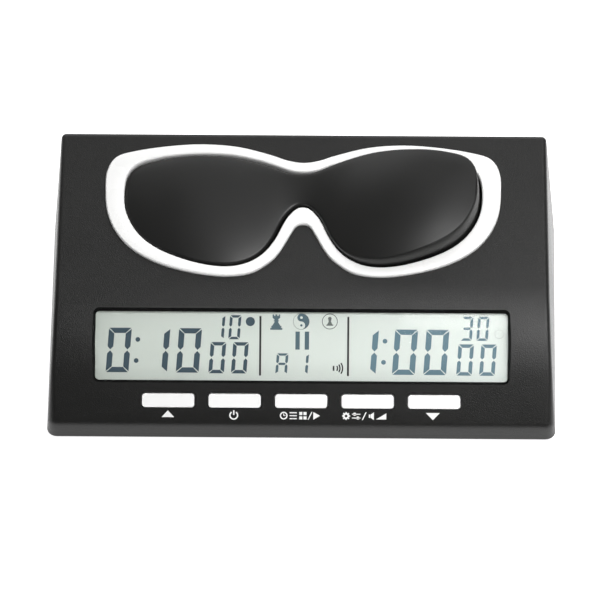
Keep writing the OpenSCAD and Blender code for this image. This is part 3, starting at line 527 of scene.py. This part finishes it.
# Each figure's lower left corner along X
LEFT_FIGURES = [("0", -60.0, LEFT_BIG), ("1", -48.2, LEFT_BIG), ("0", -38.5, LEFT_BIG),
                ("0", -28.5, LEFT_MEDIUM), ("0", -21.6, LEFT_MEDIUM), ("1", -27.4, SMALL),
                ("0", -22.5, SMALL)]
RIGHT_FIGURES = [("1", 15.7, BIG), ("0", 27.7, BIG), ("0", 37.3, BIG), ("0", 47.4, MEDIUM),
                 ("0", 54.4, MEDIUM), ("3", 48.6, SMALL), ("0", 53.5, SMALL)]
CENTRE_FIGURES = [("A", -8.0, TINY), ("1", -1.7, TINY)]


def figures(rows):
    """The outlines of a group of figures."""
    outlines = []
    for sign, x, size in rows:
        outlines += digit(sign, x, **size)
    return outlines


def rook(x, y):
    """A castle piece: crown, neck, flared body and foot."""
    right_half = [(1.85, -0.2), (1.85, 0.35), (1.4, 0.35), (1.65, 0.95), (1.3, 0.95),
                  (0.45, 2.35), (0.8, 2.35), (0.8, 2.75), (0.45, 2.75), (0.75, 3.2), (1.15, 3.4),
                  (1.15, 4.5), (0.75, 4.5), (0.65, 4.05), (0.3, 4.05), (0.3, 4.5)]
    return [mirrored(right_half, x, y)]


def yin_yang(x, y, r):
    """The dark half of a two-tone round mark, and its two dots."""
    half = r / 2
    dark = (arc(x, y, r, 90, -90) + arc(x, y - half, half, -90, 90)
            + arc(x, y + half, half, -90, -270))
    return [dark, disc(x + 0.05, y + half, r * 0.17, 20), disc(x + 0.05, y - half, r * 0.15, 20)]


def pawn_in_ring(x, y, r):
    """A ring around a small pawn."""
    right_half = [(1.05, -1.3), (1.05, -1.0), (0.75, -0.85), (0.3, 0.1), (0.55, 0.3), (0.3, 0.45)]
    head = arc(0, 0.9, 0.55, -50, 230)
    pawn = (moved(right_half, x, y) + moved(head, x, y)
            + [(x - px, y + py) for px, py in reversed(right_half)])
    return [disc(x, y, r), disc(x, y, r - 0.22), pawn]


def sound(x, y):
    """A small bar with three arcs to its right."""
    arcs = [arc_band(x, y, r, STROKE, -34, 34) for r in (1.35, 2.1, 2.9)]
    return arcs + [bar(x - 0.1, y - 0.75, x + 0.4, y + 0.75)]


glass_top = sloped_box("lcd_front_glass", WINDOW_TILT)[1].z
# The pane reaches this much further up than down from the middle of its opening.
PANE_OFFSET = 0.35 * MM
# The segments lie this far above the glass.
SEGMENT_LIFT = 0.03 * MM
WINDOW_UP = (pane_low.y + pane_high.y) / 2 - PANE_OFFSET
segment_place = on_plane(WINDOW_TILT, WINDOW_UP, glass_top + SEGMENT_LIFT)

COLON_DOT = 0.72
left_dots = [disc(-50.2, 1.95, COLON_DOT), disc(-50.65, -4.55, COLON_DOT), disc(-15.76, 7.68, 1.4)]
right_dots = [disc(25.54, 1.9, COLON_DOT), disc(25.13, -4.6, COLON_DOT)]
pause_bars = [bar(-1.9, -0.85, -0.58, 4.68), bar(0.96, -0.85, 2.28, 4.68)]
ROUND_MARK = (-0.16, 7.8)
round_mark = yin_yang(*ROUND_MARK, 2.4)
round_mark_ring = [disc(*ROUND_MARK, 2.5), disc(*ROUND_MARK, 2.4)]
divider_bars = [bar(-12.98, -8.9, -12.36, 9.4), bar(13.95, -8.9, 14.57, 9.3)]
idle_ring = [disc(60.5, 4.3, 1.42), disc(60.5, 4.3, 1.28)]
for name, outlines, material in (
        ("display_left_figures", figures(LEFT_FIGURES) + left_dots, LEFT_INK),
        ("display_right_figures", figures(RIGHT_FIGURES) + right_dots, RIGHT_INK_PAINTED_LIGHT),
        ("display_centre_figures",
         figures(CENTRE_FIGURES) + rook(-7.8, 5.4) + pause_bars + round_mark, CENTRE_INK_PAINTED_LIGHT),
        ("display_rings", round_mark_ring + pawn_in_ring(8.6, 7.85, 2.42), RING_INK),
        ("display_dividers", divider_bars + sound(9.7, -6.55), LINE_INK),
        ("display_idle_ring", idle_ring, FAINT_INK)):
    marks(name, outlines, segment_place, material)

# ---------------------------------------------------------------- printed signs
cap_low, cap_high = sloped_box("mode_button", FACE_TILT)
# The caps stand this far above the face, and the signs' middle line lies this far below them.
CAP_RISE = 0.6 * MM
SIGN_DROP = 4.5 * MM
CAP_UP = (cap_low.y + cap_high.y) / 2
sign_place = on_plane(FACE_TILT, CAP_UP - SIGN_DROP, cap_high.z - CAP_RISE)


def slash(x):
    """A leaning bar between two signs, with its lower left corner at x."""
    return [(x, -1.2), (x + 0.35, -1.2), (x + 1.5, 1.2), (x + 1.15, 1.2)]


def gear(x, y, r):
    """A toothed ring with a round hole. Each tooth has two points at its foot, two at its tip."""
    teeth = 8
    foot = r * 0.74
    outline = []
    for i in range(teeth):
        for aside, reach in ((-14, foot), (-9, r), (9, r), (14, foot)):
            a = math.radians(360 * i / teeth + aside)
            outline.append((x + reach * math.cos(a), y + reach * math.sin(a)))
    return [outline, disc(x, y, r * 0.34, 20)]


clock_sign = [disc(-5.3, 0, 1.2), disc(-5.3, 0, 0.8), bar(-5.42, -0.1, -5.18, 0.65),
              bar(-5.18, -0.1, -4.75, 0.12)]
list_sign = [bar(-3.5, y - 0.17, -1.3, y + 0.17) for y in (-0.9, 0, 0.9)]
grid_sign = [bar(x, y, x + 0.95, y + 0.95) for x in (-0.55, 0.75) for y in (-1.15, 0.2)]
slider_sign = [bar(15.6, 0.45, 18.2, 0.72), disc(16.4, 0.58, 0.5, 16),
               bar(15.6, -0.72, 18.2, -0.45), disc(17.4, -0.58, 0.5, 16)]
horn_sign = [bar(20.75, -0.5, 21.2, 0.5), [(21.3, -0.5), (22.3, -1.2), (22.3, 1.2), (21.3, 0.5)]]
volume_sign = [[(22.9, -1.0), (26.1, -1.0), (26.1, 0.9)]]
for name, outlines in (
        ("sign_up", [[(-42.7, -0.7), (-38.85, -0.7), (-40.77, 1.4)]]),
        ("sign_power",
         [arc_band(-20.6, 0.0, 1.17, STROKE, 125, 415), bar(-20.81, 0.1, -20.39, 1.55)]),
        ("sign_mode", clock_sign + list_sign + grid_sign),
        ("sign_play", [slash(2.0), [(3.75, -1.2), (5.8, 0.0), (3.75, 1.2)]]),
        ("sign_set", gear(13.8, 0, 1.25) + slider_sign),
        ("sign_sound", [slash(18.6)] + horn_sign + volume_sign),
        ("sign_down", [[(38.2, 1.1), (42.5, 1.1), (40.35, -1.1)]])):
    marks(name, outlines, sign_place, SIGN_PAINT)

# ---------------------------------------------------------------- studio
# Half the floor's side in metres, and how strongly it glows
FLOOR_HALF = 3.0
FLOOR_GLOW = 0.9
PLAIN_WHITE = (1, 1, 1, 1)
floor_mesh = bpy.data.meshes.new("floor")
form = bmesh.new()
bmesh.ops.create_grid(form, x_segments=1, y_segments=1, size=FLOOR_HALF)
form.to_mesh(floor_mesh)
form.free()
floor = bpy.data.objects.new("floor", floor_mesh)
floor.location.z = cad_low.z
bpy.context.scene.collection.objects.link(floor)
floor_white = plastic("floor_white", grey(0.93), grey(0.95), (0.6, 0.7), grain_depth=0.0,
                      specular=0.1)
# A glowing table, as under a product shot, keeps the shadows faint.
glow = floor_white.node_tree.nodes["Principled BSDF"].inputs
glow["Emission Color"].default_value = PLAIN_WHITE
glow["Emission Strength"].default_value = FLOOR_GLOW
floor_mesh.materials.append(floor_white)

# The room is darker near the horizon than overhead: the light at two heights of a unit
# direction, and those heights.
HORIZON_LIGHT = 0.08
OVERHEAD_LIGHT = 0.3
HORIZON_HEIGHT = 0.1
OVERHEAD_HEIGHT = 0.65
world = bpy.data.worlds.new("studio")
world.use_nodes = True
background = world.node_tree.nodes["Background"]
background.inputs["Color"].default_value = PLAIN_WHITE
direction = world.node_tree.nodes.new("ShaderNodeTexCoord")
split = world.node_tree.nodes.new("ShaderNodeSeparateXYZ")
room_light = world.node_tree.nodes.new("ShaderNodeMapRange")
room_light.inputs["From Min"].default_value = HORIZON_HEIGHT
room_light.inputs["From Max"].default_value = OVERHEAD_HEIGHT
room_light.inputs["To Min"].default_value = HORIZON_LIGHT
room_light.inputs["To Max"].default_value = OVERHEAD_LIGHT
world.node_tree.links.new(direction.outputs["Generated"], split.inputs["Vector"])
world.node_tree.links.new(split.outputs["Z"], room_light.inputs["Value"])
world.node_tree.links.new(room_light.outputs["Result"], background.inputs["Strength"])
bpy.context.scene.world = world


def softbox(name, azimuth, elevation, distance, width, height, power, aside):
    """A lamp that faces the clock, moved aside to the right as seen from the lamp.

    Azimuth 0 is in front of the clock, 90 on its right. Angles are in degrees, lengths
    in metres and the power in watts.
    """
    a, e = math.radians(azimuth), math.radians(elevation)
    lamp = bpy.data.lights.new(name, "AREA")
    lamp.shape = "RECTANGLE"
    lamp.size, lamp.size_y = width, height
    lamp.energy = power
    holder = bpy.data.objects.new(name, lamp)
    toward = Vector((math.sin(a) * math.cos(e), -math.cos(a) * math.cos(e), math.sin(e)))
    holder.location = toward * distance + Vector((math.cos(a), math.sin(a), 0)) * aside
    holder.rotation_euler = toward.to_track_quat("Z", "Y").to_euler()
    bpy.context.scene.collection.objects.link(holder)


# Name, azimuth, elevation, distance, width, height, power, distance aside
for row in (("key_box", 0, 72, 0.5, 0.3, 0.22, 1.5, 0.18),
            ("right_box", 48, 46, 0.3, 0.2, 0.2, 0.17, 0.0),
            ("top_box", 180, 80, 1.5, 1.0, 0.7, 1.8, -0.3),
            ("back_left_box", -155, 38, 1.5, 0.9, 0.9, 5, 0.0),
            ("back_right_box", 155, 38, 1.5, 0.9, 0.9, 7, 0.0)):
    softbox(*row)

# ---------------------------------------------------------------- camera
CAMERA_AIM = Vector((0.0, -0.0015, 0.0227))
CAMERA_AZIMUTH = math.radians(1.08)
CAMERA_ELEVATION = math.radians(49.6)
CAMERA_ROLL = -0.0077
CAMERA_DISTANCE = 2.825
# Focal length and film width in millimetres, and the farthest point seen in metres
CAMERA_LENS = 550.7
CAMERA_FILM = 36
CAMERA_REACH = 20
# How far the middle of the frame lies from the aim, to the right and up
FRAME_RIGHT = -0.8 * MM
FRAME_UP = -3.85 * MM

back = Vector((math.sin(CAMERA_AZIMUTH) * math.cos(CAMERA_ELEVATION),
               -math.cos(CAMERA_AZIMUTH) * math.cos(CAMERA_ELEVATION),
               math.sin(CAMERA_ELEVATION)))
level = Vector((math.cos(CAMERA_AZIMUTH), math.sin(CAMERA_AZIMUTH), 0))
rise = back.cross(level)
up = math.cos(CAMERA_ROLL) * rise - math.sin(CAMERA_ROLL) * level
eye = CAMERA_AIM + back * CAMERA_DISTANCE
look = (eye - (CAMERA_AIM + level * FRAME_RIGHT + rise * FRAME_UP)).normalized()
side = up.cross(look).normalized()
turn = Matrix((side, look.cross(side), look)).transposed().to_4x4()
camera_data = bpy.data.cameras.new("camera")
camera_data.lens = CAMERA_LENS
camera_data.sensor_width = CAMERA_FILM
camera_data.clip_end = CAMERA_REACH
camera = bpy.data.objects.new("camera", camera_data)
camera.matrix_world = Matrix.Translation(eye) @ turn
bpy.context.scene.collection.objects.link(camera)
bpy.context.scene.camera = camera
bpy.context.scene.view_settings.view_transform = "Standard"
